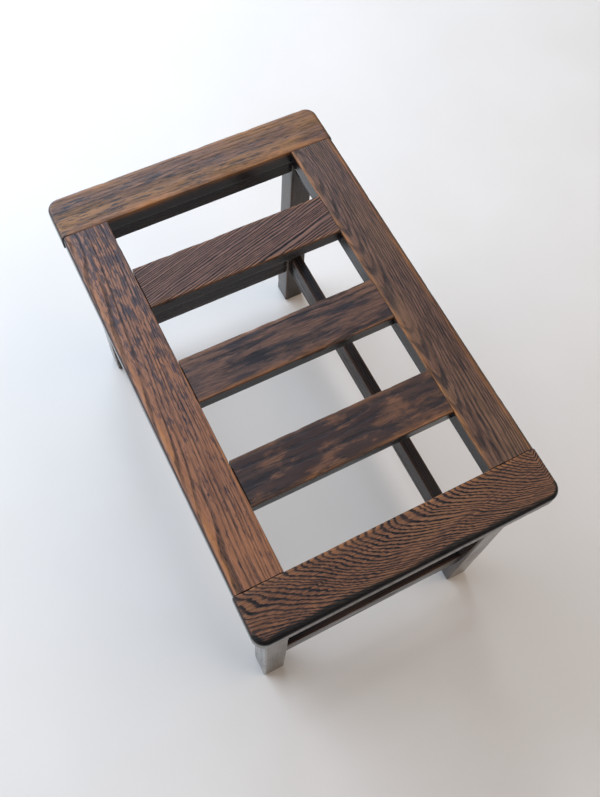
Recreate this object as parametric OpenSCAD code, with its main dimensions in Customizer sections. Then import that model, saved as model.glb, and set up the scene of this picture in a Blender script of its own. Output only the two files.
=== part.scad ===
// Slatted luggage rack: a joined oak stand with a flat, slatted top.
// X runs across the rack, Y along it and Z up. The origin lies on the floor,
// under the middle of the top, and the -Y end is called the front.
// Every joint is a mortise and tenon, and wood screws hold the top down.

/* [Overall] */
// Length of the top, along Y
top_l = 609; // [480:1:760]
// Width of the top, along X
top_w = 376; // [300:1:470]
// Height of the top surface above the floor
rack_h = 400; // [320:1:520]

/* [Top boards] */
// Thickness of the end boards and the side boards
board_t = 22; // [19:0.5:28]
// Width of each end board
end_board_w = 60; // [52:1:76]
// Width of each side board
side_board_w = 58.5; // [50:0.5:74]
// How far the end boards stand proud of the side boards' outer edges
end_proud = 1.5; // [0.5:0.5:3]
// Radius of the outer corners, seen from above
corner_r = 16; // [10:1:24]
// Rounding along the top outer edges
edge_r = 6; // [3:0.5:8]
// Easing of every other long edge
arris_r = 1; // [0.5:0.25:2]

/* [Slats] */
// Width of each slat
slat_w = 59; // [45:1:75]
// Thickness of each slat
slat_t = 20; // [16:0.5:22]

/* [Legs] */
// Width of the square legs
leg_w = 32; // [28:1:40]
// Overhang of the top past the legs, along X
overhang_side = 19; // [10:1:24]
// Overhang of the top past the legs, along Y
overhang_end = 18; // [10:1:20]
// Rounding of the legs' upright edges
leg_r = 2.5; // [1:0.5:4]
// Rounding around the bottom of the feet
foot_r = 3.5; // [2:0.5:5]

/* [Rails] */
// Thickness of the aprons under the top
apron_t = 18; // [16:0.5:22]
// Depth of the aprons
apron_h = 44; // [38:1:60]
// Thickness of the low stretchers
stretcher_t = 17; // [14:0.5:22]
// Depth of the low stretchers
stretcher_h = 42; // [32:1:56]
// Height of the stretchers' lower edges above the floor
stretcher_z = 80; // [60:1:130]

/* [Joints] */
// Thickness of the tenons on the boards and slats
board_tenon_t = 7; // [6:0.5:9]
// Length of the side boards' tenons
side_tenon_l = 28; // [20:1:34]
// Length of the slats' tenons
slat_tenon_l = 16; // [10:1:24]
// Thickness of the tenons on the aprons and stretchers
rail_tenon_t = 6; // [5:0.5:7]
// Wood left between two mortises that meet inside a leg
mortise_wall = 1.5; // [1:0.25:3]
// Width of the shoulder above and below a tenon, or beside it
shoulder = 7; // [5:0.5:9]
// Clearance around a tenon in its mortise
fit_gap = 0.15; // [0.05:0.05:0.3]
// Open joint line between a board's shoulder and its neighbour
joint_line = 0.4; // [0.1:0.1:0.8]

/* [Screws] */
// Diameter of the screws' shanks
screw_d = 4.2; // [3.5:0.1:5]
// Diameter of the countersunk heads
screw_head_d = 8.4; // [7:0.2:9]
// Depth that a screw goes up into its board
screw_bite = 13; // [9:1:14]
// Wood of the apron that a screw passes through, under the top
screw_web = 20; // [14:1:28]
// Distance of an end apron's screws inside the side boards' inner edges
end_screw_inset = 53; // [35:1:60]

/* [Hidden] */
$fn = 48;

under_top = rack_h - board_t;
inner_l = top_l - 2 * end_board_w;
inner_w = top_w - 2 * (side_board_w + end_proud);
side_board_x = inner_w / 2;
slat_gap = (inner_l - 3 * slat_w) / 4;
slat_pitch = slat_w + slat_gap;

leg_x = top_w / 2 - overhang_side - leg_w / 2;
leg_y = top_l / 2 - overhang_end - leg_w / 2;
end_rail_l = 2 * leg_x - leg_w;
side_rail_l = 2 * leg_y - leg_w;
apron_z = under_top - apron_h;
// Tenons from two sides stop short of each other inside the leg.
rail_tenon_l = (leg_w - rail_tenon_t) / 2 - mortise_wall;
end_screw_x = side_board_x - end_screw_inset;
// The side screws stand between two slats, clear of the slats' mortises.
side_screw_y = 1.5 * slat_pitch;

screw_head_h = (screw_head_d - screw_d) / 2;
screw_point = 5;
slot_w = 1.1;
slot_depth = 1.1;
counterbore_d = screw_head_d + 1.6;
shank_gap = 0.2;
pilot_gap = 0.05;

dark_oak = [0.24, 0.15, 0.11];
red_oak = [0.31, 0.18, 0.12];
gold_oak = [0.38, 0.25, 0.16];
steel = [0.45, 0.44, 0.42];

// What a rounding of radius r takes off a corner at the origin
module corner_waste(r) {
    difference() {
        translate([-1, -1]) square(r + 1);
        translate([r, r]) circle(r);
    }
}

// Rectangle w by t with rounded corners, from the lower left one round
module eased(w, t, radii) {
    corners = [[0, 0], [w, 0], [w, t], [0, t]];
    difference() {
        square([w, t]);
        for (i = [0:3]) translate(corners[i]) rotate(90 * i) corner_waste(radii[i]);
    }
}

// Bar with its profile in YZ, centred on X
module bar_x(length, w, t, radii) {
    translate([-length / 2, 0, 0]) rotate([90, 0, 90]) linear_extrude(length) eased(w, t, radii);
}

// Tenon that starts at the origin and runs along +X, grown by gap on its faces
module tenon(length, w, t, gap) {
    translate([-gap, -w / 2 - gap, -t / 2 - gap]) cube([length + 2 * gap, w + 2 * gap, t + 2 * gap]);
}

// Tenons of one side board, as cut or as the mortises that take them
module side_tenons(gap) {
    for (end = [-1, 1])
        translate([side_board_x + side_board_w / 2, end * inner_l / 2, under_top + board_t / 2])
            rotate(end * 90)
                translate([-joint_line, 0, 0])
                    tenon(side_tenon_l + joint_line, side_board_w - 2 * shoulder, board_tenon_t, gap);
}

// Tenon on one end of the slat at y
module slat_tenon(y, gap) {
    translate([side_board_x - joint_line, y, rack_h - slat_t / 2])
        tenon(slat_tenon_l + joint_line, slat_w - 2 * shoulder, board_tenon_t, gap);
}

// Tenons on the ends of a rail that lies along X, with its lower edge at z = 0
module rail_tenons(length, h, gap) {
    for (side = [0, 180])
        rotate(side) translate([length / 2, 0, h / 2]) rotate([90, 0, 0])
            tenon(rail_tenon_l, h - 2 * shoulder, rail_tenon_t, gap);
}

// Rail along X with its lower edge at z = 0
module rail(length, t, h) {
    translate([0, -t / 2, 0]) bar_x(length, t, h, [arris_r, arris_r, arris_r, arris_r]);
    rail_tenons(length, h, 0);
}

// Shank of a screw, or the hole for one, grown by gap
module screw_shank(length, gap) {
    cylinder(d = screw_d + 2 * gap, h = length);
}

// Screw with its slotted head down and the top of the head at z = 0
module screw() {
    difference() {
        union() {
            translate([0, 0, -screw_head_h]) cylinder(d1 = screw_head_d, d2 = screw_d, h = screw_head_h);
            screw_shank(screw_web + screw_bite - screw_point, 0);
            translate([0, 0, screw_web + screw_bite - screw_point])
                cylinder(d1 = screw_d, d2 = 0.6, h = screw_point);
        }
        translate([-screw_head_d, -slot_w / 2, -screw_head_h - 1])
            cube([2 * screw_head_d, slot_w, slot_depth + 1]);
    }
}

// Puts its children where the shank of each end apron's screw starts
module at_end_screws(end) {
    for (side = [-1, 1])
        translate([side * end_screw_x, end * leg_y, under_top - screw_web]) children();
}

// Puts its children where the shank of each side apron's screw starts
module at_side_screws(side) {
    for (end = [-1, 1])
        translate([side * leg_x, end * side_screw_y, under_top - screw_web]) children();
}

// Countersunk clearance hole through an apron, and the counterbore below it
module apron_hole() {
    screw_shank(screw_web + 1, shank_gap);
    translate([0, 0, -screw_head_h])
        cylinder(d1 = screw_head_d + 2 * shank_gap, d2 = screw_d + 2 * shank_gap, h = screw_head_h);
    translate([0, 0, -apron_h]) cylinder(d = counterbore_d, h = apron_h - screw_head_h);
}

// Pilot hole up into a board
module pilot_hole() {
    translate([0, 0, screw_web - 1]) screw_shank(screw_bite + 1 + pilot_gap, pilot_gap);
}

// Profile of a rounded outer edge that ends at x = w
module outer_edge(w) {
    eased(w, board_t, [0, arris_r, edge_r, 0]);
}

// End board at +Y, with round outer corners
module end_board_blank() {
    straight = top_w / 2 - corner_r;
    outer_y = top_l / 2 - corner_r;
    deep = end_board_w - corner_r;
    translate([0, inner_l / 2, under_top]) bar_x(2 * straight, deep, board_t, [arris_r, 0, 0, arris_r]);
    translate([0, outer_y, under_top]) bar_x(2 * straight, corner_r, board_t, [0, arris_r, edge_r, 0]);
    for (side = [0, 1]) mirror([side, 0, 0]) {
        translate([straight, outer_y, under_top]) rotate_extrude(angle = 90) outer_edge(corner_r);
        translate([straight, outer_y, under_top]) rotate([90, 0, 0]) linear_extrude(deep) outer_edge(corner_r);
    }
}

module end_board(end) {
    difference() {
        mirror([0, end < 0 ? 1 : 0, 0]) end_board_blank();
        for (side = [0, 1]) mirror([side, 0, 0]) side_tenons(fit_gap);
        at_end_screws(end) pilot_hole();
    }
}

module side_board(side) {
    length = inner_l - 2 * joint_line;
    difference() {
        mirror([side < 0 ? 1 : 0, 0, 0]) {
            translate([side_board_x, length / 2, under_top]) rotate([90, 0, 0])
                linear_extrude(length) eased(side_board_w, board_t, [arris_r, arris_r, edge_r, arris_r]);
            side_tenons(0);
        }
        for (i = [-1:1]) mirror([side < 0 ? 1 : 0, 0, 0]) slat_tenon(i * slat_pitch, fit_gap);
        at_side_screws(side) pilot_hole();
    }
}

module slat(i) {
    y = i * slat_pitch;
    translate([0, y - slat_w / 2, rack_h - slat_t])
        bar_x(inner_w - 2 * joint_line, slat_w, slat_t, [arris_r, arris_r, arris_r, arris_r]);
    for (side = [0, 1]) mirror([side, 0, 0]) slat_tenon(y, 0);
}

// What the rounding takes off one bottom edge of a foot, on its +Y side
module foot_waste() {
    translate([0, leg_w / 2 - foot_r, 0]) difference() {
        translate([-leg_w / 2 - 1, 0, -1]) cube([leg_w + 2, foot_r + 1, foot_r + 1]);
        translate([-leg_w / 2 - 2, 0, foot_r]) rotate([0, 90, 0]) cylinder(r = foot_r, h = leg_w + 4);
    }
}

module leg(side, end) {
    difference() {
        translate([side * leg_x, end * leg_y, 0]) difference() {
            translate([-leg_w / 2, -leg_w / 2, 0])
                linear_extrude(under_top) eased(leg_w, leg_w, [leg_r, leg_r, leg_r, leg_r]);
            for (turn = [0:90:270]) rotate(turn) foot_waste();
        }
        for (level = [[apron_z, apron_h], [stretcher_z, stretcher_h]]) {
            translate([0, end * leg_y, level[0]]) rail_tenons(end_rail_l, level[1], fit_gap);
            translate([side * leg_x, 0, level[0]]) rotate(90) rail_tenons(side_rail_l, level[1], fit_gap);
        }
    }
}

module end_apron(end) {
    difference() {
        translate([0, end * leg_y, apron_z]) rail(end_rail_l, apron_t, apron_h);
        at_end_screws(end) apron_hole();
    }
}

module side_apron(side) {
    difference() {
        translate([side * leg_x, 0, apron_z]) rotate(90) rail(side_rail_l, apron_t, apron_h);
        at_side_screws(side) apron_hole();
    }
}

module end_stretcher(end) {
    translate([0, end * leg_y, stretcher_z]) rail(end_rail_l, stretcher_t, stretcher_h);
}

module side_stretcher(side) {
    translate([side * leg_x, 0, stretcher_z]) rotate(90) rail(side_rail_l, stretcher_t, stretcher_h);
}

module end_board_front() { color(red_oak) end_board(-1); }
module end_board_back() { color(gold_oak) end_board(1); }
module side_board_left() { color(red_oak) side_board(-1); }
module side_board_right() { color(gold_oak) side_board(1); }
module slat_front() { color(dark_oak) slat(-1); }
module slat_middle() { color(dark_oak) slat(0); }
module slat_back() { color(red_oak) slat(1); }
module leg_front_left() { color(dark_oak) leg(-1, -1); }
module leg_front_right() { color(dark_oak) leg(1, -1); }
module leg_back_left() { color(dark_oak) leg(-1, 1); }
module leg_back_right() { color(dark_oak) leg(1, 1); }
module end_apron_front() { color(dark_oak) end_apron(-1); }
module end_apron_back() { color(dark_oak) end_apron(1); }
module side_apron_left() { color(dark_oak) side_apron(-1); }
module side_apron_right() { color(dark_oak) side_apron(1); }
module end_stretcher_front() { color(dark_oak) end_stretcher(-1); }
module end_stretcher_back() { color(dark_oak) end_stretcher(1); }
module side_stretcher_left() { color(dark_oak) side_stretcher(-1); }
module side_stretcher_right() { color(dark_oak) side_stretcher(1); }
module top_screws() {
    color(steel) {
        for (end = [-1, 1]) at_end_screws(end) screw();
        for (side = [-1, 1]) at_side_screws(side) screw();
    }
}

end_board_front();
end_board_back();
side_board_left();
side_board_right();
slat_front();
slat_middle();
slat_back();
leg_front_left();
leg_front_right();
leg_back_left();
leg_back_right();
end_apron_front();
end_apron_back();
side_apron_left();
side_apron_right();
end_stretcher_front();
end_stretcher_back();
side_stretcher_left();
side_stretcher_right();
top_screws();
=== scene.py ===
import math
import bmesh
import bpy
import numpy as np
from mathutils import Matrix, Vector


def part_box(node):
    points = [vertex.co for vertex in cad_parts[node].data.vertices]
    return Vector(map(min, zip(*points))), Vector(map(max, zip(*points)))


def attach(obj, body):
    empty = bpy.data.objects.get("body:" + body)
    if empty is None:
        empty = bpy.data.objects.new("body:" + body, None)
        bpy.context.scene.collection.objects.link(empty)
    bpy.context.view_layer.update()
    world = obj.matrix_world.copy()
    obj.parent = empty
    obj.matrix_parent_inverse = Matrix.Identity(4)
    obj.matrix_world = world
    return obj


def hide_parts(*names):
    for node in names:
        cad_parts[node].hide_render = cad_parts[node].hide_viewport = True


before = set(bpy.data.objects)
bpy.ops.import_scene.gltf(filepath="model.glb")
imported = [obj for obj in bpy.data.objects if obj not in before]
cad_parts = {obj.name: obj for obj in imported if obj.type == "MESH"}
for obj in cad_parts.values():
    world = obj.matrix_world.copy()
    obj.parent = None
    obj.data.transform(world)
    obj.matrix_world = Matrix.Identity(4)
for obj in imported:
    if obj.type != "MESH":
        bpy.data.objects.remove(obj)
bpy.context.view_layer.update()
mm = 0.001


cameraView = {
    "place": (-0.2454, -0.4259, 1.3091),
    "aim": (-0.0227, -0.0752, 0.4),
    "roll": 5.87,  # degrees, anticlockwise
    "lens": 39.69,  # mm on a sensor 36 mm high
}


def makeCamera(view):
    data = bpy.data.cameras.new("camera")
    data.lens = view["lens"]
    data.sensor_fit = "VERTICAL"
    data.sensor_height = 36
    data.clip_start = 0.01
    place = Vector(view["place"])
    ahead = (Vector(view["aim"]) - place).normalized()
    level = ahead.cross(Vector((0, 0, 1))).normalized()
    upright = level.cross(ahead)
    roll = math.radians(view["roll"])
    right = level * math.cos(roll) + upright * math.sin(roll)
    up = upright * math.cos(roll) - level * math.sin(roll)
    turn = Matrix((right, up, -ahead)).transposed()
    camera = bpy.data.objects.new("camera", data)
    camera.matrix_world = Matrix.Translation(place) @ turn.to_4x4()
    bpy.context.scene.collection.objects.link(camera)
    bpy.context.scene.camera = camera


makeCamera(cameraView)

softLights = [
    # a wide window beyond the far end and to the left: cool daylight
    {"name": "window", "place": (-0.8, 1.83, 1.72), "aim": (0, 0, 0.32), "size": (4.4, 2.8),
     "power": 158, "colour": (0.64, 0.81, 1.0)},
    # warm bounce from high on the other side of the room
    {"name": "room", "place": (1.6, -0.9, 2.7), "aim": (0, 0, 0), "size": (2.6, 2.6),
     "power": 32, "colour": (1.0, 0.87, 0.7)},
    # a pale wall on the left, which puts a thin highlight on the rounded edges
    {"name": "wall", "place": (-2.4, 0.1, 0.95), "aim": (0, 0, 0.35), "size": (3.6, 1.6),
     "power": 12, "colour": (0.8, 0.9, 1.0)},
]


def makeLight(lamp):
    data = bpy.data.lights.new(lamp["name"], "AREA")
    data.shape = "RECTANGLE"
    data.size, data.size_y = lamp["size"]
    data.energy = lamp["power"]
    data.color = lamp["colour"]
    light = bpy.data.objects.new(lamp["name"], data)
    light.location = lamp["place"]
    ahead = Vector(lamp["aim"]) - Vector(lamp["place"])
    light.rotation_euler = ahead.to_track_quat("-Z", "Y").to_euler()
    bpy.context.scene.collection.objects.link(light)


for lamp in softLights:
    makeLight(lamp)

skyColour = (0.86, 0.93, 1.0, 1)
skyStrength = 0.2
world = bpy.data.worlds.new("soft room")
bpy.context.scene.world = world
world.use_nodes = True
world.node_tree.nodes["Background"].inputs["Color"].default_value = skyColour
world.node_tree.nodes["Background"].inputs["Strength"].default_value = skyStrength
bpy.context.scene.view_settings.view_transform = "Standard"
print("stage: camera and lights")


def linear(hexColour):
    # sRGB hex to linear RGBA, by the sRGB curve
    parts = [int(hexColour[i:i + 2], 16) / 255 for i in (1, 3, 5)]
    return tuple(p / 12.92 if p <= 0.04045 else ((p + 0.055) / 1.055) ** 2.4 for p in parts) + (1.0,)


def addNode(tree, kind, inputs=None, output=0, **settings):
    # adds a node, sets it up, sets or links its inputs, and gives back one of its outputs
    made = tree.nodes.new(kind)
    for key, value in settings.items():
        setattr(made, key, value)
    for key, value in (inputs or {}).items():
        if isinstance(value, bpy.types.NodeSocket):
            tree.links.new(value, made.inputs[key])
        else:
            made.inputs[key].default_value = value
    return made.outputs[output] if made.outputs else None


def startMaterial(name):
    material = bpy.data.materials.new(name)
    material.use_nodes = True
    material.node_tree.nodes.clear()
    return material, material.node_tree


def finishMaterial(tree, sockets):
    shader = addNode(tree, "ShaderNodeBsdfPrincipled", sockets)
    addNode(tree, "ShaderNodeOutputMaterial", {"Surface": shader})


# turns that bring a piece's grain to the pattern's first axis
grainTurns = {"x": (0, 0, 0), "y": (0, 0, -math.pi / 2), "z": (0, math.pi / 2, 0)}
toMm = 1000  # from metres

# What all the oak shares. Noise patches are in mm, along and across the grain. A pair that ends
# in Span holds the noise value where a mark starts and the one where it is full.
oakGrain = {
    "wobble": (13, 2.4), "fade": (60, 11), "cloud": (95, 22),
    "fibre": (26, 1.4), "pore": (10, 1.0),  # coarser than in real oak, so that they show
    "bendSpan": (0.25, 0.75), "fadeSpan": (0.34, 0.6), "poreSpan": (0.54, 0.62),
    "fibreSpan": (0.4, 0.6), "cloudSpan": (0.42, 0.68), "dirtSpan": (0.3, 0.62),
    "yearScale": 0.11, "yearSwing": 2.0,  # how fast and how far the years' widths change
    "lineCore": 0.45, "lineStart": 0.9,  # solid share of a line, and where in a year the next starts
    "upSpan": (0.5, 0.95),  # how far up a face looks, from a side with painted shade to a worn top
    "shownAside": 0.12,  # what is left of lines, pores and relief on a side under painted shade
    "poreBed": 0.25,  # pores between the ring lines, against those in them
    "patchFibreSpan": (0.35, 0.6), "patchFloor": 0.6,  # fibres break up the black marks
    "rubFibreSpan": (0.3, 0.62), "rubFloor": 0.55,  # and the rubbed arrises
    "dirtMiddle": 0.5, "dirtMost": 0.96, "dirtColour": "#0d0a0b",
    "glossSpan": (0.35, 0.65), "glossLess": 0.05, "glossMore": 0.06,
    "sunkWax": 0.4, "sideGloss": -0.16,  # roughness added in hollows and on the sides under painted shade
    "lineRelief": -0.4, "poreRelief": -0.4, "fibreRelief": 0.35,
}


def perMm(size):
    # noise at scale 1 has patches about 1 mm across, so each axis is divided by its size
    return (1 / size[0], 1 / size[1], 1 / size[1])


def placeGrain(tree, look):
    # the piece's own place, turned so that x runs along the grain, in mm from the tree's pith
    angles = list(grainTurns[look["grain"]])
    angles[2] -= math.radians(look["slant"])
    turn = Matrix.Identity(3)
    for axis, angle in zip("XYZ", angles):
        turn = Matrix.Rotation(angle, 3, axis) @ turn
    pith = turn @ Vector(look["pith"]) * toMm
    place = addNode(tree, "ShaderNodeTexCoord", output=3)
    return addNode(tree, "ShaderNodeMapping", {
        "Vector": place, "Location": tuple(-pith), "Rotation": angles, "Scale": (toMm, toMm, toMm)})


def ringLines(tree, grain, parts, look):
    # The rings are parabolas about the pith, since the distance across grows with the root of
    # the distance along. Slow wander and quick wobble are added, the sum is cut into years,
    # and a line fills the first part of each year.
    flow = addNode(tree, "ShaderNodeMath", {0: parts[0]}, operation="ABSOLUTE")
    flow = addNode(tree, "ShaderNodeMath", {0: flow, 1: look["cone"]}, operation="MULTIPLY")
    wide = addNode(tree, "ShaderNodeMath", {0: parts[1], 1: parts[1], 2: flow}, operation="MULTIPLY_ADD")
    wide = addNode(tree, "ShaderNodeMath", {0: parts[2], 1: parts[2], 2: wide}, operation="MULTIPLY_ADD")
    radius = addNode(tree, "ShaderNodeMath", {0: wide}, operation="SQRT")
    slow = addNode(tree, "ShaderNodeVectorMath", {
        0: grain, 1: perMm((look["wanderLong"], look["wanderWide"]))}, operation="MULTIPLY")
    wander = addNode(tree, "ShaderNodeTexNoise", {
        "Vector": slow, "Scale": 1, "Detail": 2, "Roughness": 0.5})
    quick = addNode(tree, "ShaderNodeVectorMath", {0: grain, 1: perMm(oakGrain["wobble"])},
                    operation="MULTIPLY")
    wobble = addNode(tree, "ShaderNodeTexNoise", {"Vector": quick, "Scale": 1, "Detail": 2})
    low, high = oakGrain["bendSpan"]
    wanderMm = addNode(tree, "ShaderNodeMapRange", {
        "Value": wander, "From Min": low, "From Max": high,
        "To Min": -look["wander"], "To Max": look["wander"]}, clamp=False)
    wobbleMm = addNode(tree, "ShaderNodeMapRange", {
        "Value": wobble, "From Min": low, "From Max": high,
        "To Min": -look["wobble"], "To Max": look["wobble"]}, clamp=False)
    bent = addNode(tree, "ShaderNodeMath", {0: radius, 1: wanderMm}, operation="ADD")
    bent = addNode(tree, "ShaderNodeMath", {0: bent, 1: wobbleMm}, operation="ADD")
    years = addNode(tree, "ShaderNodeTexNoise", {
        "W": bent, "Scale": oakGrain["yearScale"], "Detail": 1}, noise_dimensions="1D")
    grown = addNode(tree, "ShaderNodeMath", {0: bent, 1: look["swell"]}, operation="POWER")
    count = addNode(tree, "ShaderNodeMath", {0: grown, 1: look["ring"]}, operation="DIVIDE")
    count = addNode(tree, "ShaderNodeMath", {0: years, 1: oakGrain["yearSwing"], 2: count},
                    operation="MULTIPLY_ADD")
    phase = addNode(tree, "ShaderNodeMath", {0: count}, operation="FRACT")
    fall = addNode(tree, "ShaderNodeMapRange", {
        "Value": phase, "From Min": look["line"] * oakGrain["lineCore"], "From Max": look["line"],
        "To Min": 1, "To Max": 0}, interpolation_type="SMOOTHSTEP")
    rise = addNode(tree, "ShaderNodeMapRange", {
        "Value": phase, "From Min": oakGrain["lineStart"], "From Max": 1, "To Min": 0, "To Max": 1},
        interpolation_type="SMOOTHSTEP")
    return addNode(tree, "ShaderNodeMath", {0: fall, 1: rise}, operation="MAXIMUM")


def stainedGround(tree, grain, parts, fibre, cloud, look):
    # light and dark fibres, then broad cloudy changes
    low, high = oakGrain["fibreSpan"]
    fibreMix = addNode(tree, "ShaderNodeMapRange", {"Value": fibre, "From Min": low, "From Max": high})
    ground = addNode(tree, "ShaderNodeMix", {
        0: fibreMix, 6: linear(look["deep"]), 7: linear(look["ground"])}, output=2, data_type="RGBA")
    low, high = oakGrain["cloudSpan"]
    cloudMix = addNode(tree, "ShaderNodeMapRange", {
        "Value": cloud, "From Min": low, "From Max": high, "To Min": 0, "To Max": look["warmth"]})
    ground = addNode(tree, "ShaderNodeMix", {0: cloudMix, 6: ground, 7: linear(look["warm"])},
                     output=2, data_type="RGBA")
    # black wear marks: ragged patches drawn out along the grain, their bluish black partly a painted cool
    # sheen
    patchScale = addNode(tree, "ShaderNodeVectorMath", {
        0: grain, 1: perMm((look["patchLong"], look["patchWide"]))}, operation="MULTIPLY")
    patchNoise = addNode(tree, "ShaderNodeTexNoise", {
        "Vector": patchScale, "Scale": 1, "Detail": 5, "Roughness": 0.62})
    # and the marks thicken towards one end or one edge of some boards, which also paints a darker, bluer
    # sheen there
    leaning = addNode(tree, "ShaderNodeMath", {
        0: parts[0], 1: look["leanLong"] / toMm, 2: patchNoise}, operation="MULTIPLY_ADD")
    leaning = addNode(tree, "ShaderNodeMath", {
        0: parts[1], 1: look["leanWide"] / toMm, 2: leaning}, operation="MULTIPLY_ADD")
    patch = addNode(tree, "ShaderNodeMapRange", {
        "Value": leaning, "From Min": look["patchFrom"], "From Max": look["patchFrom"] + look["patchSoft"],
        "To Min": 0, "To Max": look["patches"]}, interpolation_type="SMOOTHSTEP")
    low, high = oakGrain["patchFibreSpan"]
    patchFibre = addNode(tree, "ShaderNodeMapRange", {
        "Value": fibre, "From Min": low, "From Max": high, "To Min": oakGrain["patchFloor"], "To Max": 1})
    patch = addNode(tree, "ShaderNodeMath", {0: patch, 1: patchFibre}, operation="MULTIPLY")
    return addNode(tree, "ShaderNodeMix", {0: patch, 6: ground, 7: linear(look["blackWithSheen"])},
                   output=2, data_type="RGBA")


def rubAndInk(tree, colour, fibre, ringLine, pore, look):
    # arrises rubbed back to bare golden wood, with the ring lines and pores inked over them
    rub = addNode(tree, "ShaderNodeAttribute", output="Fac", attribute_name="rubbed")
    low, high = oakGrain["rubFibreSpan"]
    rubFibre = addNode(tree, "ShaderNodeMapRange", {
        "Value": fibre, "From Min": low, "From Max": high, "To Min": oakGrain["rubFloor"], "To Max": 1})
    rub = addNode(tree, "ShaderNodeMath", {0: rub, 1: rubFibre}, operation="MULTIPLY", use_clamp=True)
    colour = addNode(tree, "ShaderNodeMix", {0: rub, 6: colour, 7: linear(look["bare"])},
                     output=2, data_type="RGBA")
    lineMix = addNode(tree, "ShaderNodeMath", {0: ringLine, 1: look["lines"]}, operation="MULTIPLY")
    colour = addNode(tree, "ShaderNodeMix", {0: lineMix, 6: colour, 7: linear(look["ink"])},
                     output=2, data_type="RGBA")
    poreMix = addNode(tree, "ShaderNodeMath", {0: pore, 1: look["pores"]}, operation="MULTIPLY")
    colour = addNode(tree, "ShaderNodeMix", {0: poreMix, 6: colour, 7: linear(look["ink"])},
                     output=2, data_type="RGBA")
    return colour, addNode(tree, "ShaderNodeMath", {0: lineMix, 1: poreMix}, operation="MAXIMUM")


def addDirt(tree, colour, fading):
    # old wax and dirt left where hands and cloths don't reach
    dirt = addNode(tree, "ShaderNodeAttribute", output="Fac", attribute_name="dirty")
    dirtEdge = addNode(tree, "ShaderNodeMath", {0: fading, 1: oakGrain["dirtMiddle"]},
                       operation="SUBTRACT")
    dirt = addNode(tree, "ShaderNodeMath", {0: dirt, 1: dirtEdge}, operation="ADD")
    low, high = oakGrain["dirtSpan"]
    dirt = addNode(tree, "ShaderNodeMapRange", {
        "Value": dirt, "From Min": low, "From Max": high, "To Min": 0, "To Max": oakGrain["dirtMost"]},
        interpolation_type="SMOOTHSTEP")
    return addNode(tree, "ShaderNodeMix", {0: dirt, 6: colour, 7: linear(oakGrain["dirtColour"])},
                   output=2, data_type="RGBA")


def waxRoughness(tree, cloud, hollow, sideShade, look):
    # the wax lies smooth on the ground, sinks in the lines and pores, and shines more on the sides
    low, high = oakGrain["glossSpan"]
    gloss = addNode(tree, "ShaderNodeMapRange", {
        "Value": cloud, "From Min": low, "From Max": high,
        "To Min": look["rough"] - oakGrain["glossLess"], "To Max": look["rough"] + oakGrain["glossMore"]})
    dull = addNode(tree, "ShaderNodeMath", {0: hollow, 1: oakGrain["sunkWax"]}, operation="MULTIPLY")
    roughness = addNode(tree, "ShaderNodeMath", {0: gloss, 1: dull}, operation="ADD")
    return addNode(tree, "ShaderNodeMath", {0: sideShade, 1: oakGrain["sideGloss"], 2: roughness},
                   operation="MULTIPLY_ADD", use_clamp=True)


def grainRelief(tree, ringLine, pore, fibre, shown, look):
    # ring lines and pores lie low and the fibres stand up a little
    relief = addNode(tree, "ShaderNodeMath", {0: ringLine, 1: oakGrain["lineRelief"]},
                     operation="MULTIPLY")
    poreRelief = addNode(tree, "ShaderNodeMath", {0: pore, 1: oakGrain["poreRelief"]},
                         operation="MULTIPLY")
    relief = addNode(tree, "ShaderNodeMath", {0: relief, 1: poreRelief}, operation="ADD")
    fibreRelief = addNode(tree, "ShaderNodeMath", {0: fibre, 1: oakGrain["fibreRelief"]},
                          operation="MULTIPLY")
    relief = addNode(tree, "ShaderNodeMath", {0: relief, 1: fibreRelief}, operation="ADD")
    relief = addNode(tree, "ShaderNodeMath", {0: relief, 1: shown}, operation="MULTIPLY")
    return addNode(tree, "ShaderNodeBump", {
        "Height": relief, "Distance": look["relief"] * mm, "Strength": 1.0})


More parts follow.
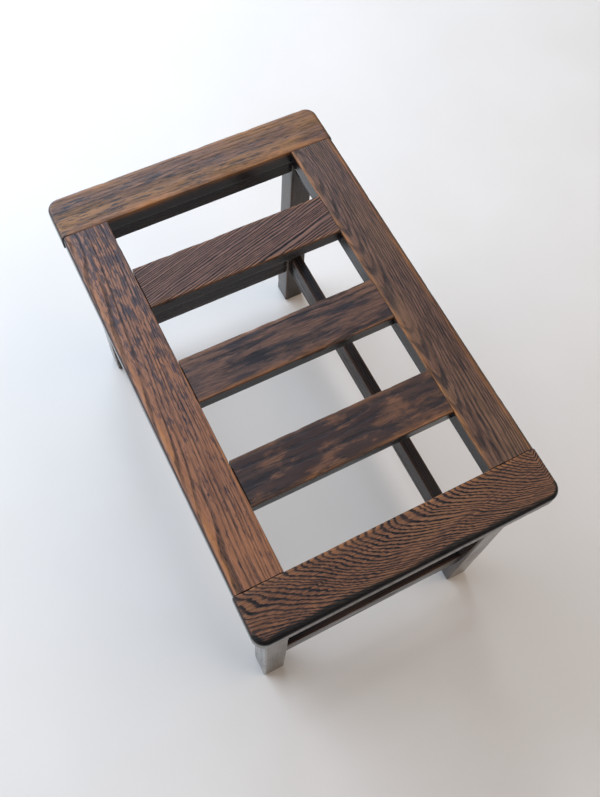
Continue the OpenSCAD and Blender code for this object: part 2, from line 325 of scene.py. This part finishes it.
def oakMaterial(name, look):
    # Stained oak under rubbed wax: the ring lines are the open early wood, which holds
    # dark stain and wax, so they read as near-black strokes on a red-brown ground. The
    # index of refraction is below that of fresh wax, because worn wax shines less.
    material, tree = startMaterial(name)
    grain = placeGrain(tree, look)
    parts = [addNode(tree, "ShaderNodeSeparateXYZ", {"Vector": grain}, output=k) for k in range(3)]
    ringLine = ringLines(tree, grain, parts, look)

    # high on faces that don't look up, which get a painted dark shade, and 0 on worn tops
    facing = addNode(tree, "ShaderNodeTexCoord", output=1)
    upward = addNode(tree, "ShaderNodeSeparateXYZ", {"Vector": facing}, output=2)
    low, high = oakGrain["upSpan"]
    sideShade = addNode(tree, "ShaderNodeMapRange", {
        "Value": upward, "From Min": low, "From Max": high, "To Min": look["sides"], "To Max": 0},
        interpolation_type="SMOOTHSTEP")
    shown = addNode(tree, "ShaderNodeMapRange", {
        "Value": sideShade, "From Min": 0, "From Max": 1, "To Min": 1, "To Max": oakGrain["shownAside"]})

    # lines come and go along the board, and the painted side shade hides most of them on the sides
    fade = addNode(tree, "ShaderNodeVectorMath", {0: grain, 1: perMm(oakGrain["fade"])},
                   operation="MULTIPLY")
    fading = addNode(tree, "ShaderNodeTexNoise", {
        "Vector": fade, "Scale": 1, "Detail": 3, "Roughness": 0.6})
    low, high = oakGrain["fadeSpan"]
    strength = addNode(tree, "ShaderNodeMapRange", {
        "Value": fading, "From Min": low, "From Max": high, "To Min": look["faint"], "To Max": 1})
    ringLine = addNode(tree, "ShaderNodeMath", {0: ringLine, 1: strength}, operation="MULTIPLY")
    ringLine = addNode(tree, "ShaderNodeMath", {0: ringLine, 1: shown}, operation="MULTIPLY")

    # fibres everywhere, and pores, most of them in the ring lines
    fibreScale = addNode(tree, "ShaderNodeVectorMath", {0: grain, 1: perMm(oakGrain["fibre"])},
                         operation="MULTIPLY")
    fibre = addNode(tree, "ShaderNodeTexNoise", {
        "Vector": fibreScale, "Scale": 1, "Detail": 4, "Roughness": 0.65})
    poreScale = addNode(tree, "ShaderNodeVectorMath", {0: grain, 1: perMm(oakGrain["pore"])},
                        operation="MULTIPLY")
    poreNoise = addNode(tree, "ShaderNodeTexNoise", {"Vector": poreScale, "Scale": 1, "Detail": 2})
    low, high = oakGrain["poreSpan"]
    pore = addNode(tree, "ShaderNodeMapRange", {
        "Value": poreNoise, "From Min": low, "From Max": high, "To Min": 0, "To Max": 1},
        interpolation_type="SMOOTHSTEP")
    poreBed = addNode(tree, "ShaderNodeMapRange", {
        "Value": ringLine, "From Min": 0, "From Max": 1, "To Min": oakGrain["poreBed"], "To Max": 1})
    pore = addNode(tree, "ShaderNodeMath", {0: pore, 1: poreBed}, operation="MULTIPLY")
    pore = addNode(tree, "ShaderNodeMath", {0: pore, 1: shown}, operation="MULTIPLY")

    # the colours are laid one over the other
    cloudScale = addNode(tree, "ShaderNodeVectorMath", {0: grain, 1: perMm(oakGrain["cloud"])},
                         operation="MULTIPLY")
    cloud = addNode(tree, "ShaderNodeTexNoise", {"Vector": cloudScale, "Scale": 1, "Detail": 3})
    colour = stainedGround(tree, grain, parts, fibre, cloud, look)
    # painted shade: faces that don't look up are darkened to the near-black, bluish side colour
    colour = addNode(tree, "ShaderNodeMix", {0: sideShade, 6: colour, 7: linear(look["side"])},
                     output=2, data_type="RGBA")
    colour, hollow = rubAndInk(tree, colour, fibre, ringLine, pore, look)
    colour = addDirt(tree, colour, fading)
    finishMaterial(tree, {
        "Base Color": colour, "Roughness": waxRoughness(tree, cloud, hollow, sideShade, look),
        "Normal": grainRelief(tree, ringLine, pore, fibre, shown, look), "IOR": look["ior"]})
    return material


waveFall = 0.6  # a wave counts for its length to this power
waveGain = 1.7  # brings the sum's reach to about 1


def ripple(along, around, seed, longest, shortest, stretch=5, count=9):
    # sum of sine waves, each longer along the grain than round it, from about -1 to 1
    rng = np.random.default_rng(seed)
    total = 0
    weights = 0
    for length in np.geomspace(longest, shortest, count):
        tilt, shift = rng.uniform(-1, 1), rng.uniform(0, 2 * np.pi)
        weight = length ** waveFall
        turns = along / (length * stretch) + tilt * around / length
        total = total + weight * np.sin(2 * np.pi * turns + shift)
        weights += weight
    return waveGain * total / weights


# points on each of a profile's four corner arcs, and on the flats between them
arcPoints = 9
flatPoints = (11, 4, 11, 4)
sharpAngle = math.radians(38)  # edges above this stay crisp
tenonArris = 0.4 * mm
tenonChamfer = 1 * mm


def cornerArcs(halfWidth, thick, radii):
    # quarter circles at the four corners: lower left, lower right, upper right, upper left
    arcs = []
    for k, (side, level) in enumerate([(-1, 0), (1, 0), (1, 1), (-1, 1)]):
        radius = radii[k][:, None]
        angle = np.linspace(math.pi * (2 + k) / 2, math.pi * (3 + k) / 2, arcPoints)[None, :]
        across = side * (halfWidth[:, None] - radius) + radius * np.cos(angle)
        height = np.where(level, thick[:, None] - radius, radius) + radius * np.sin(angle)
        arcs.append(np.stack([across, height], axis=-1))
    return arcs


def joinArcs(arcs):
    # each arc followed by evenly spaced points on the straight line to the next arc
    ring = []
    for k, points in enumerate(flatPoints):
        ring.append(arcs[k])
        start, end = arcs[k][:, -1:], arcs[(k + 1) % 4][:, :1]
        share = (np.arange(points) + 1)[None, :, None] / (points + 1)
        ring.append(start + (end - start) * share)
    return np.concatenate(ring, axis=1)


def barProfile(halfWidth, thick, radii):
    # rectangle with a quarter circle at each corner
    return joinArcs(cornerArcs(halfWidth, thick, radii))


def roundDistance(ring):
    # distance round the mean profile, and where the middle of each corner arc lies on it
    mean = ring.mean(axis=0)
    step = np.linalg.norm(np.roll(mean, -1, axis=0) - mean, axis=1)
    travel = np.concatenate([[0], np.cumsum(step)[:-1]])
    starts = np.cumsum([0] + [arcPoints + points for points in flatPoints[:-1]])
    return travel, step.sum(), travel[starts + arcPoints // 2]


def nearness(travel, total, centre, spread):
    # 1 at the arris, falling as a bell curve with distance round the profile
    gap = np.abs(travel - centre)
    gap = np.minimum(gap, total - gap)
    return np.exp(-(gap / spread) ** 2)


def signedVolume(grid):
    # sum of the tetrahedra between the origin and each quad of the tube
    a, b = grid[:-1], np.roll(grid, -1, axis=1)[:-1]
    c, d = np.roll(grid, -1, axis=1)[1:], grid[1:]
    return (np.cross(a, b) * c).sum() + (np.cross(a, c) * d).sum()


def sink(grid, depth):
    # moves each point inwards, along the normal of the grid, by its depth
    along = np.gradient(grid, axis=0)
    around = np.roll(grid, -1, axis=1) - np.roll(grid, 1, axis=1)
    normal = np.cross(around, along)
    normal /= np.maximum(np.linalg.norm(normal, axis=2, keepdims=True), 1e-12)
    if signedVolume(grid) < 0:
        normal = -normal
    return grid - normal * depth[:, :, None]


def buildMesh(name, grid, marks):
    # closed tube of quads with a flat cap at each end, and one float for each point and mark
    rows, columns = grid.shape[:2]
    index = np.arange(rows * columns).reshape(rows, columns)
    following = np.roll(index, -1, axis=1)
    quads = np.stack([index[:-1], following[:-1], following[1:], index[1:]], axis=-1).reshape(-1, 4)
    faces = quads.tolist() + [index[0][::-1].tolist(), index[-1].tolist()]
    if signedVolume(grid) < 0:
        faces = [face[::-1] for face in faces]
    mesh = bpy.data.meshes.new(name)
    mesh.from_pydata(grid.reshape(-1, 3), [], faces)
    for key, values in marks.items():
        layer = mesh.attributes.new(key, "FLOAT", "POINT")
        layer.data.foreach_set("value", values.astype(np.float32).ravel())
    mesh.shade_smooth()
    mesh.set_sharp_from_angle(angle=sharpAngle)
    mesh.update()
    piece = bpy.data.objects.new(name, mesh)
    bpy.context.scene.collection.objects.link(piece)
    return piece


def addTenon(grid, marks, atEnd, width, thick, length):
    # shoulder ring, tenon ring, chamfered tip: rings added past one end of a bar, in its own axes
    last = grid[-1] if atEnd else grid[0]
    station = last[:, 0].mean()
    way = 1 if atEnd else -1
    middle = (last[:, 2].min() + last[:, 2].max()) / 2
    rings = []
    for reach, inset in ((0, 0), (length - tenonChamfer, 0), (length, tenonChamfer)):
        half = np.array([width / 2 - inset])
        deep = np.array([thick - 2 * inset])
        ring = barProfile(half, deep, [np.array([tenonArris])] * 4)[0]
        ring = np.column_stack([np.full(len(ring), station + way * reach), ring[:, 0],
                                ring[:, 1] + middle - deep[0] / 2])
        rings.append(ring)
    extra = np.stack(rings if atEnd else rings[::-1])
    blank = np.zeros(extra.shape[:2])
    if atEnd:
        return np.concatenate([grid, extra]), {k: np.concatenate([v, blank]) for k, v in marks.items()}
    return np.concatenate([extra, grid]), {k: np.concatenate([blank, v]) for k, v in marks.items()}


# how wear is spread, in mm: a chip's reach, the longest and shortest wave of each change
chipLong = 7
chipWide = 2.6
chipSizes = (0.35, 1.0)  # shares of the whole chip
chipSpan = (0.02, 0.98)  # shares of the bar's length
hollowWaves = (90, 14)
rubWaves = (60, 6)
radiusWaves = (70, 9)
leastRadius = 0.25
rubFloor = 0.35  # what is left of the rubbing where a hand seldom comes


def weather(ring, along, spec):
    # How deep each point has worn, and where it is rubbed and dirty: hollows are a sum of sine
    # waves, chips are bell curves along and round an arris, and rubbing and dirt are bell
    # curves round an arris, with the rubbing strengthened and weakened by waves along it.
    travel, total, arrises = roundDistance(ring)
    rng = np.random.default_rng(spec["seed"])
    s, u = along[:, None], travel[None, :]
    # hand-planed faces: shallow hollows that never rise above the true face
    depth = spec["hollow"] * mm * (0.5 + 0.5 * ripple(s / mm, u / mm, spec["seed"] + 1, *hollowWaves))
    rubbed = np.zeros_like(depth)
    dirty = np.zeros_like(depth)
    span = along[-1] - along[0]
    for k, arris in enumerate(arrises):
        for chip in range(spec["chips"][k]):
            middle = along[0] + span * rng.uniform(*chipSpan)
            size = rng.uniform(*chipSizes)
            bell = np.exp(-((s - middle) / (chipLong * size * mm)) ** 2)
            bite = bell * nearness(travel, total, arris, chipWide * mm)
            depth = depth + spec["chipDepth"] * size * mm * bite
        pattern = 0.5 + 0.5 * ripple(s / mm, 0, spec["seed"] + 11 + k, *rubWaves, stretch=3)
        share = (along - along[0]) / span
        level = spec["rub"][k][0] * (1 - share) + spec["rub"][k][1] * share
        level = level * (rubFloor + (1 - rubFloor) * pattern[:, 0])
        rubPlace = arris + spec["rubShift"][k] * mm
        rub = nearness(travel, total, rubPlace, spec["rubWidth"][k] * mm)
        rubbed = np.maximum(rubbed, level[:, None] * rub)
        soot = spec["soot"][k]
        dirty = np.maximum(dirty, soot * nearness(travel, total, arris, spec["sootWidth"] * mm))
    return np.maximum(depth, 0), {"rubbed": np.clip(rubbed, 0, 1), "dirty": np.clip(dirty, 0, 1)}


def stationsAlong(low, high, step):
    # evenly spaced places, about a step apart
    return np.linspace(low, high, max(3, int(round((high - low) / step)) + 1))


def wornRadii(along, spec):
    # each arris's radius swells and shrinks along the bar
    radii = []
    for k, (base, swing) in enumerate(spec["radii"]):
        waves = ripple(along / mm, 0, spec["seed"] + 21 + k, *radiusWaves, stretch=3)
        radii.append(np.maximum(leastRadius, base + swing * waves) * mm)
    return radii


footPoints = 7  # on the quarter circle at a leg's foot


def makeBar(name, spec, along, width, thick, axes, base, tenon=None, foot=0):
    # profile carried along the grain, worn, then given its tenons or its rounded foot. The
    # bar's own axes (along, across, up) are turned to the given ones and moved to the base.
    stations = stationsAlong(along[0], along[1], spec["step"] * mm)
    inset = np.zeros_like(stations)
    if foot:
        # the foot's rounding: stations on a quarter circle, with the profile drawn in by 1 - sine
        turn = np.linspace(0, math.pi / 2, footPoints)[:-1]
        low = along[0] + foot * (1 - np.cos(turn))
        stations = np.concatenate([low, stations[stations > along[0] + foot]])
        below = along[0] + foot - stations
        inset = np.where(below > 0, foot - np.sqrt(np.maximum(foot ** 2 - below ** 2, 0)), 0)
    radii = wornRadii(stations, spec)
    half = width / 2 - inset
    deep = thick - 2 * inset
    ring = barProfile(half, deep, radii)
    ring[:, :, 1] += inset[:, None]
    grid = np.concatenate([np.broadcast_to(stations[:, None, None], ring.shape[:2] + (1,)), ring], axis=-1)
    depth, marks = weather(ring, stations, spec)
    grid = sink(grid, depth)
    grid[:, :, 0] = stations[:, None]
    if tenon:
        for atEnd in (True, False):
            grid, marks = addTenon(grid, marks, atEnd, *tenon)
    turn = np.array(axes, float)
    return buildMesh(name, grid @ turn + np.array(base), marks)


rimPoints = 15  # stations on the quarter circle at each end of an end board
rimStep = 1 * mm  # and the distance between the next ones
cornerPast = 3 * mm  # how far those go on past the round corner
middleGap = 5 * mm  # from the corner to the first of the wider steps
wearFade = 8 * mm  # wear dies out over this length at the ends
rubFade = 14 * mm
mergeGap = 0.002 * mm


def makeEndBoard(name, spec, low, high, corner, side):
    # the board's height above a point is a function of the point's distance from the outer
    # outline, which has round corners: full height inside, a quarter circle down at the rim
    length, width, thick = high.x, high.y - low.y, high.z - low.z
    rim = spec["radii"][2][0] * mm
    turn = np.linspace(0, math.pi / 2, rimPoints)
    fromEnd = np.concatenate([
        rim * (1 - np.cos(turn)), np.arange(rim + rimStep, corner + cornerPast, rimStep)])
    reach = length - corner - middleGap
    middle = stationsAlong(-reach, reach, spec["step"] * mm)
    stations = np.concatenate([-length + fromEnd, middle, (length - fromEnd)[::-1]])
    left = np.maximum(length - np.abs(stations), 0)[:, None]  # distance left to the nearer end
    radii = wornRadii(stations, spec)
    radii[2] = np.full_like(stations, rim)
    full = np.ones_like(stations)
    arcs = cornerArcs(full * width / 2, full * thick, radii)
    past = np.maximum(corner - left, 0)
    for k in (1, 2):
        radius = radii[k][:, None]
        gap = np.minimum(width / 2 - arcs[k][:, :, 0], left)
        drawn = width / 2 - corner + np.sqrt(np.maximum((corner - gap) ** 2 - past ** 2, 0))
        drop = radius - np.sqrt(np.maximum(radius ** 2 - (radius - np.minimum(gap, radius)) ** 2, 0))
        arcs[k][:, :, 0] = drawn
        arcs[k][:, :, 1] = thick - drop if k == 2 else drop
    for k in (0, 3):
        radius = radii[1][:, None] if k == 0 else rim
        drop = radius - np.sqrt(np.maximum(radius ** 2 - (radius - np.minimum(left, radius)) ** 2, 0))
        arcs[k][:, :, 1] += drop if k == 0 else -drop
    ring = joinArcs(arcs)
    grid = np.concatenate([np.broadcast_to(stations[:, None, None], ring.shape[:2] + (1,)), ring], axis=-1)
    depth, marks = weather(ring, stations, spec)
    # wear and rubbing die out towards the rounded ends
    grid = sink(grid, depth * np.clip((left - rim) / wearFade, 0, 1))
    marks["rubbed"] = marks["rubbed"] * np.clip((left - rim) / rubFade, 0, 1)
    grid[:, :, 0] = stations[:, None]
    grid[:, :, 1] += width / 2
    inner = low.y if side > 0 else high.y
    turn = np.array([(1, 0, 0), (0, side, 0), (0, 0, 1)], float)
    piece = buildMesh(name, grid @ turn + np.array((0, inner, low.z)), marks)
    # near the ends many points of the rim share a place
    merged = bmesh.new()
    merged.from_mesh(piece.data)
    bmesh.ops.remove_doubles(merged, verts=merged.verts, dist=mergeGap)
    merged.to_mesh(piece.data)
    merged.free()
    return piece


def standFor(piece, node, material):
    # the worn piece takes the place of its CAD node, on the one body
    piece.data.materials.append(material)
    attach(piece, "root")
    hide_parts(node)


def giveMaterial(node, material):
    # a CAD node keeps its shape and gets a new material
    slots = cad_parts[node].data.materials
    slots.clear()
    slots.append(material)


print("stage: helpers")


backLow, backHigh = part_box("end_board_back")
frontLow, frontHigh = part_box("end_board_front")
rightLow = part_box("side_board_right")[0]
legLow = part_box("leg_back_right")[0]
jointLine = 0.4 * mm
openJoint = 0.9 * mm  # the slats' left shoulders, which have opened a little
boardTenon = 7 * mm
railTenon = 6 * mm
shoulder = 7 * mm

# what every stained board starts from: mm, except that the pith's place is in metres, and sRGB
oakLook = {
    # rings: way of the grain, place of the pith, spacing, and the dark share of each year
    "grain": "x", "slant": 0, "pith": (0, 0, 0), "cone": 3, "swell": 1, "ring": 3.0, "line": 0.5,
    "wander": 3, "wobble": 0.45, "wanderLong": 150, "wanderWide": 50,
    "faint": 0.25, "lines": 0.8, "pores": 0.5,
    # colours: stained wood, ink in the hollows, and a painted bluish shade on the sides
    "deep": "#4a2a1c", "ground": "#7d4a2f", "warm": "#96572c", "warmth": 0.5,
    # side is a painted shade for faces that don't look up, laid at the given amount
    "ink": "#0a090e", "side": "#0b0c12", "sides": 0.95, "bare": "#b9753c",
    # black wear marks, whose bluish black is partly a painted cool sheen
    "blackWithSheen": "#171821", "patches": 0.0, "patchLong": 70, "patchWide": 16,
    "patchFrom": 0.55, "patchSoft": 0.11, "leanLong": 0, "leanWide": 0,
    # wax
    "rough": 0.34, "relief": 0.35, "ior": 1.37,
}
# wear, in mm: a list of four gives the arrises in the order of cornerArcs
boardWear = {
    "seed": 1, "step": 2.5, "hollow": 0.16, "chips": (0, 2, 5, 5), "chipDepth": 0.7,
    "radii": ((1, 0), (1, 0), (1.2, 0.5), (1.2, 0.5)),
    "rub": ((0, 0), (0, 0), (0.5, 0.5), (0.5, 0.5)), "rubWidth": (2, 2, 3, 3),
    "rubShift": (0, 0, 0, 0), "soot": (0, 0, 0, 0), "sootWidth": 4,
}


cornerRound = 16 * mm

frontBoard = {
    "look": {"pith": (0.180, -0.236, 0.385), "cone": 32, "swell": 1.5, "ring": 24, "line": 0.52, "wander": 4,
             "wobble": 0.35, "lines": 1.0, "faint": 0.65, "ground": "#85563c", "deep": "#583729",
             "warm": "#90603f", "pores": 1.0},
    "wear": {"seed": 31, "radii": ((1, 0), (1, 0), (6, 0), (1.2, 0.5)), "soot": (0, 1, 0.75, 0),
             "rub": ((0, 0), (0, 0), (0, 0), (0.5, 0.6)), "sootWidth": 7},
}
backBoard = {
    "look": {"pith": (0.02, 0.225, 0.30), "cone": 1, "ring": 5.0, "line": 0.6, "wander": 3,
             "lines": 0.35, "faint": 0.1, "ground": "#83573d", "deep": "#573829", "warm": "#a16d39",
             "warmth": 0.7, "pores": 0.4, "patches": 0.92, "patchFrom": 0.49, "patchSoft": 0.09,
             "patchLong": 24, "patchWide": 2.6, "leanLong": -0.25, "leanWide": -1.1, "rough": 0.32},
    "wear": {"seed": 47, "radii": ((1, 0), (1, 0), (6, 0), (1.4, 0.5)), "rubWidth": (2, 2, 3, 6),
             "rub": ((0, 0), (0, 0), (0.35, 0.3), (0.9, 0.8)), "rubShift": (0, 0, 5, -2)},
}
for node, low, high, side, board in (
        ("end_board_front", frontLow, frontHigh, -1, frontBoard),
        ("end_board_back", backLow, backHigh, 1, backBoard)):
    piece = makeEndBoard("worn_" + node, {**boardWear, **board["wear"]},
                         low, high, cornerRound, side)
    standFor(piece, node, oakMaterial("stained oak, " + node, {**oakLook, **board["look"]}))
print("stage: end boards")


sideBoards = {
    "side_board_left": {
        "look": {"grain": "y", "pith": (-0.185, 0.23, 0.36), "cone": 3, "ring": 2.5, "wander": 1.5,
                 "line": 0.42, "lines": 0.7, "faint": 0.35, "wobble": 0.13, "pores": 0.7,
                 "ground": "#98654a", "deep": "#754a36", "warm": "#aa6c46", "warmth": 0.5,
                 # a bluer black for this board: painted cool sheen, thickest towards the far end
                 "blackWithSheen": "#1b1e2e", "patches": 0.9, "patchFrom": 0.42, "patchLong": 16, "patchWide": 3.5,
                 "patchSoft": 0.13, "leanLong": 0.4, "leanWide": -0.9},
        "wear": {"seed": 58, "radii": ((1, 0), (1, 0), (5.5, 0.4), (1.1, 0.4)),
                 "rub": ((0, 0), (0, 0), (1.0, 0.7), (0.45, 0.3)), "rubWidth": (2, 2, 2.6, 2.5),
                 "rubShift": (0, 0, 4.6, 0)},
    },
    "side_board_right": {
        "look": {"grain": "y", "pith": (0.135, 0.21, 0.385), "cone": 3, "ring": 2.2, "wander": 1.8,
                 "lines": 0.7, "faint": 0.3, "wobble": 0.2, "ground": "#775343", "deep": "#442f26",
                 "warm": "#876043", "warmth": 0.4,
                 "patches": 0.6, "patchFrom": 0.54, "patchLong": 45, "patchWide": 5},
        "wear": {"seed": 66, "radii": ((1, 0), (1, 0), (5.5, 0.4), (1.2, 0.4)),
                 "rub": ((0, 0), (0, 0), (0.5, 0.6), (0.85, 0.8)), "rubWidth": (2, 2, 2.4, 2.4),
                 "rubShift": (0, 0, 4.6, 0)},
    },
}
shoulderY = backLow.y - jointLine
for node, board in sideBoards.items():
    low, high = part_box(node)
    side = 1 if low.x > 0 else -1
    width, thick = high.x - low.x, high.z - low.z
    tenon = (width - 2 * shoulder, boardTenon, high.y - shoulderY)
    piece = makeBar("worn_" + node, {**boardWear, **board["wear"]},
                    (-shoulderY, shoulderY), width, thick, ((0, 1, 0), (side, 0, 0), (0, 0, 1)),
                    ((low.x + high.x) / 2, 0, low.z), tenon)
    standFor(piece, node, oakMaterial("stained oak, " + node, {**oakLook, **board["look"]}))
print("stage: side boards")


slats = {
    "slat_front": {
        "look": {"pith": (0.3, -0.16, 0.30), "cone": 1, "ring": 3.6, "lines": 0.6, "faint": 0.2,
                 "wander": 2, "pores": 0.8,
                 "ground": "#78503c", "deep": "#4d3227", "warm": "#85583e", "patches": 0.85,
                 "patchFrom": 0.46, "patchSoft": 0.14, "patchLong": 48, "patchWide": 18, "leanLong": -0.3},
        "wear": {"seed": 71}},
    "slat_middle": {
        "look": {"pith": (-0.2, -0.01, 0.31), "cone": 1, "ring": 3.2, "lines": 0.7, "faint": 0.2,
                 "wander": 2, "pores": 0.85,
                 "ground": "#6f4c3d", "deep": "#432e28", "warm": "#7c5540", "patches": 0.85,
                 "patchFrom": 0.46, "patchSoft": 0.14, "patchLong": 60, "patchWide": 10},
        "wear": {"seed": 83}},
    "slat_back": {
        "look": {"pith": (0.0, 0.02, 0.30), "cone": 1, "slant": 15, "ring": 2.2, "line": 0.6, "lines": 0.95,
                 "faint": 0.75, "ground": "#83594a", "deep": "#5e4035", "wobble": 0.3, "wander": 2,
                 "pores": 0.7,
                 "warm": "#7c5847"},
        "wear": {"seed": 97}},
}
for node, board in slats.items():
    low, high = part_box(node)
    width, thick = high.y - low.y, high.z - low.z
    ends = (-rightLow.x + openJoint, rightLow.x - jointLine)
    tenon = (width - 2 * shoulder, boardTenon, high.x - ends[1])
    piece = makeBar("worn_" + node, {**boardWear, **board["wear"]}, ends, width, thick,
                    ((1, 0, 0), (0, 1, 0), (0, 0, 1)), (0, (low.y + high.y) / 2, low.z), tenon)
    standFor(piece, node, oakMaterial("stained oak, " + node, {**oakLook, **board["look"]}))
print("stage: slats")


legWear = {**boardWear, "step": 4, "radii": ((2.5, 0.4),) * 4, "chips": (2, 2, 2, 2),
           "rub": ((0.2, 0.1),) * 4, "rubWidth": (2, 2, 2, 2)}
railLook = {**oakLook, "ground": "#241a18", "deep": "#151011", "warm": "#3a261c", "warmth": 0.4,
            "cone": 1, "lines": 0.4, "pores": 0.3, "ring": 2.6, "rough": 0.24, "sides": 0,
            "relief": 0.05, "ior": 1.29}
# the legs' lighter, greyer colours than the rails' are partly a painted reflection of the pale floor on
# their glossy faces
legLook = {**railLook, "ground": "#352d29", "deep": "#2c2522", "warm": "#453830", "lines": 0.1, "pores": 0,
           "rough": 0.14, "relief": 0.02, "ior": 1.4}
footRound = 3.5 * mm
legPith = (0.03, 0.02, 0.1)  # metres from the middle of the leg's foot
for seed, node in enumerate(("leg_front_left", "leg_front_right", "leg_back_left", "leg_back_right")):
    low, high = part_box(node)
    piece = makeBar("worn_" + node, {**legWear, "seed": 120 + 3 * seed}, (low.z, high.z),
                    high.x - low.x, high.y - low.y, ((0, 0, 1), (1, 0, 0), (0, 1, 0)),
                    ((low.x + high.x) / 2, low.y, 0), foot=footRound)
    pith = ((low.x + high.x) / 2 + legPith[0], (low.y + high.y) / 2 + legPith[1], legPith[2])
    look = {**legLook, "grain": "z", "pith": pith}
    standFor(piece, node, oakMaterial("dark oak, " + node, look))

railWear = {**boardWear, "step": 4, "radii": ((1, 0.2),) * 4, "chips": (0, 0, 1, 1),
            "rub": ((0.1, 0.2),) * 4, "rubWidth": (2, 2, 2, 2)}
endStretcherLook = {**railLook, "grain": "x", "pith": (0, 0.02, 0.06)}
sideStretcherLook = {**railLook, "grain": "y", "pith": (0.02, 0, 0.06)}
endOak = oakMaterial("dark oak, end rails", endStretcherLook)
sideOak = oakMaterial("dark oak, side rails", sideStretcherLook)
for seed, node in enumerate(("end_stretcher_front", "end_stretcher_back",
                             "side_stretcher_left", "side_stretcher_right")):
    low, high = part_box(node)
    alongX = node.startswith("end")
    reach = legLow.x if alongX else legLow.y
    thin = high.y - low.y if alongX else high.x - low.x
    tip = high.x if alongX else high.y
    tall = high.z - low.z
    centre = ((low.x + high.x) / 2, (low.y + high.y) / 2, low.z)
    axes = ((1, 0, 0), (0, 1, 0), (0, 0, 1)) if alongX else ((0, 1, 0), (-1, 0, 0), (0, 0, 1))
    tenon = (railTenon, tall - 2 * shoulder, tip - reach)
    piece = makeBar("worn_" + node, {**railWear, "seed": 160 + 5 * seed},
                    (-reach, reach), thin, tall, axes, centre, tenon)
    standFor(piece, node, endOak if alongX else sideOak)

for node in ("end_apron_front", "end_apron_back", "side_apron_left", "side_apron_right"):
    giveMaterial(node, endOak if node.startswith("end") else sideOak)
print("stage: legs and rails")


screwLook = {
    "steel": "#8b8781", "rust": "#4f3526", "patches": 900,  # to the metre, so about 1 mm across
    "rustSpan": (0.5, 0.66), "rustMetal": 0.2, "steelRough": 0.38, "rustRough": 0.8,
}


def screwMaterial(look):
    # Old bright-drawn steel gone dull: grey, with patches of brown rust that are matt.
    material, tree = startMaterial("dulled steel, wood screws")
    place = addNode(tree, "ShaderNodeTexCoord", output=3)
    fine = addNode(tree, "ShaderNodeTexNoise", {"Vector": place, "Scale": look["patches"], "Detail": 4})
    low, high = look["rustSpan"]
    rust = addNode(tree, "ShaderNodeMapRange", {"Value": fine, "From Min": low, "From Max": high})
    colour = addNode(tree, "ShaderNodeMix", {0: rust, 6: linear(look["steel"]), 7: linear(look["rust"])},
                     output=2, data_type="RGBA")
    metal = addNode(tree, "ShaderNodeMapRange", {"Value": rust, "To Min": 1, "To Max": look["rustMetal"]})
    roughness = addNode(tree, "ShaderNodeMapRange", {
        "Value": rust, "To Min": look["steelRough"], "To Max": look["rustRough"]})
    finishMaterial(tree, {"Base Color": colour, "Metallic": metal, "Roughness": roughness})
    return material


giveMaterial("top_screws", screwMaterial(screwLook))
print("stage: screws")


# metres, and clouds to the metre
floorLook = {"colour": "#eee0d7", "shade": "#e6d7cb", "size": 8.0, "rough": 0.7, "clouds": 5}


def makeFloor(look):
    # Honed pale stone: matt, with faint cloudy changes about 200 mm across.
    material, tree = startMaterial("honed pale stone, floor")
    place = addNode(tree, "ShaderNodeTexCoord", output=3)
    cloud = addNode(tree, "ShaderNodeTexNoise", {"Vector": place, "Scale": look["clouds"], "Detail": 3})
    colour = addNode(tree, "ShaderNodeMix", {0: cloud, 6: linear(look["colour"]), 7: linear(look["shade"])},
                     output=2, data_type="RGBA")
    finishMaterial(tree, {"Base Color": colour, "Roughness": look["rough"]})
    half = look["size"] / 2
    mesh = bpy.data.meshes.new("floor")
    corners = [(-half, -half, 0), (half, -half, 0), (half, half, 0), (-half, half, 0)]
    mesh.from_pydata(corners, [], [(0, 1, 2, 3)])
    mesh.materials.append(material)
    floor = bpy.data.objects.new("floor", mesh)
    bpy.context.scene.collection.objects.link(floor)


makeFloor(floorLook)
print("stage: floor")
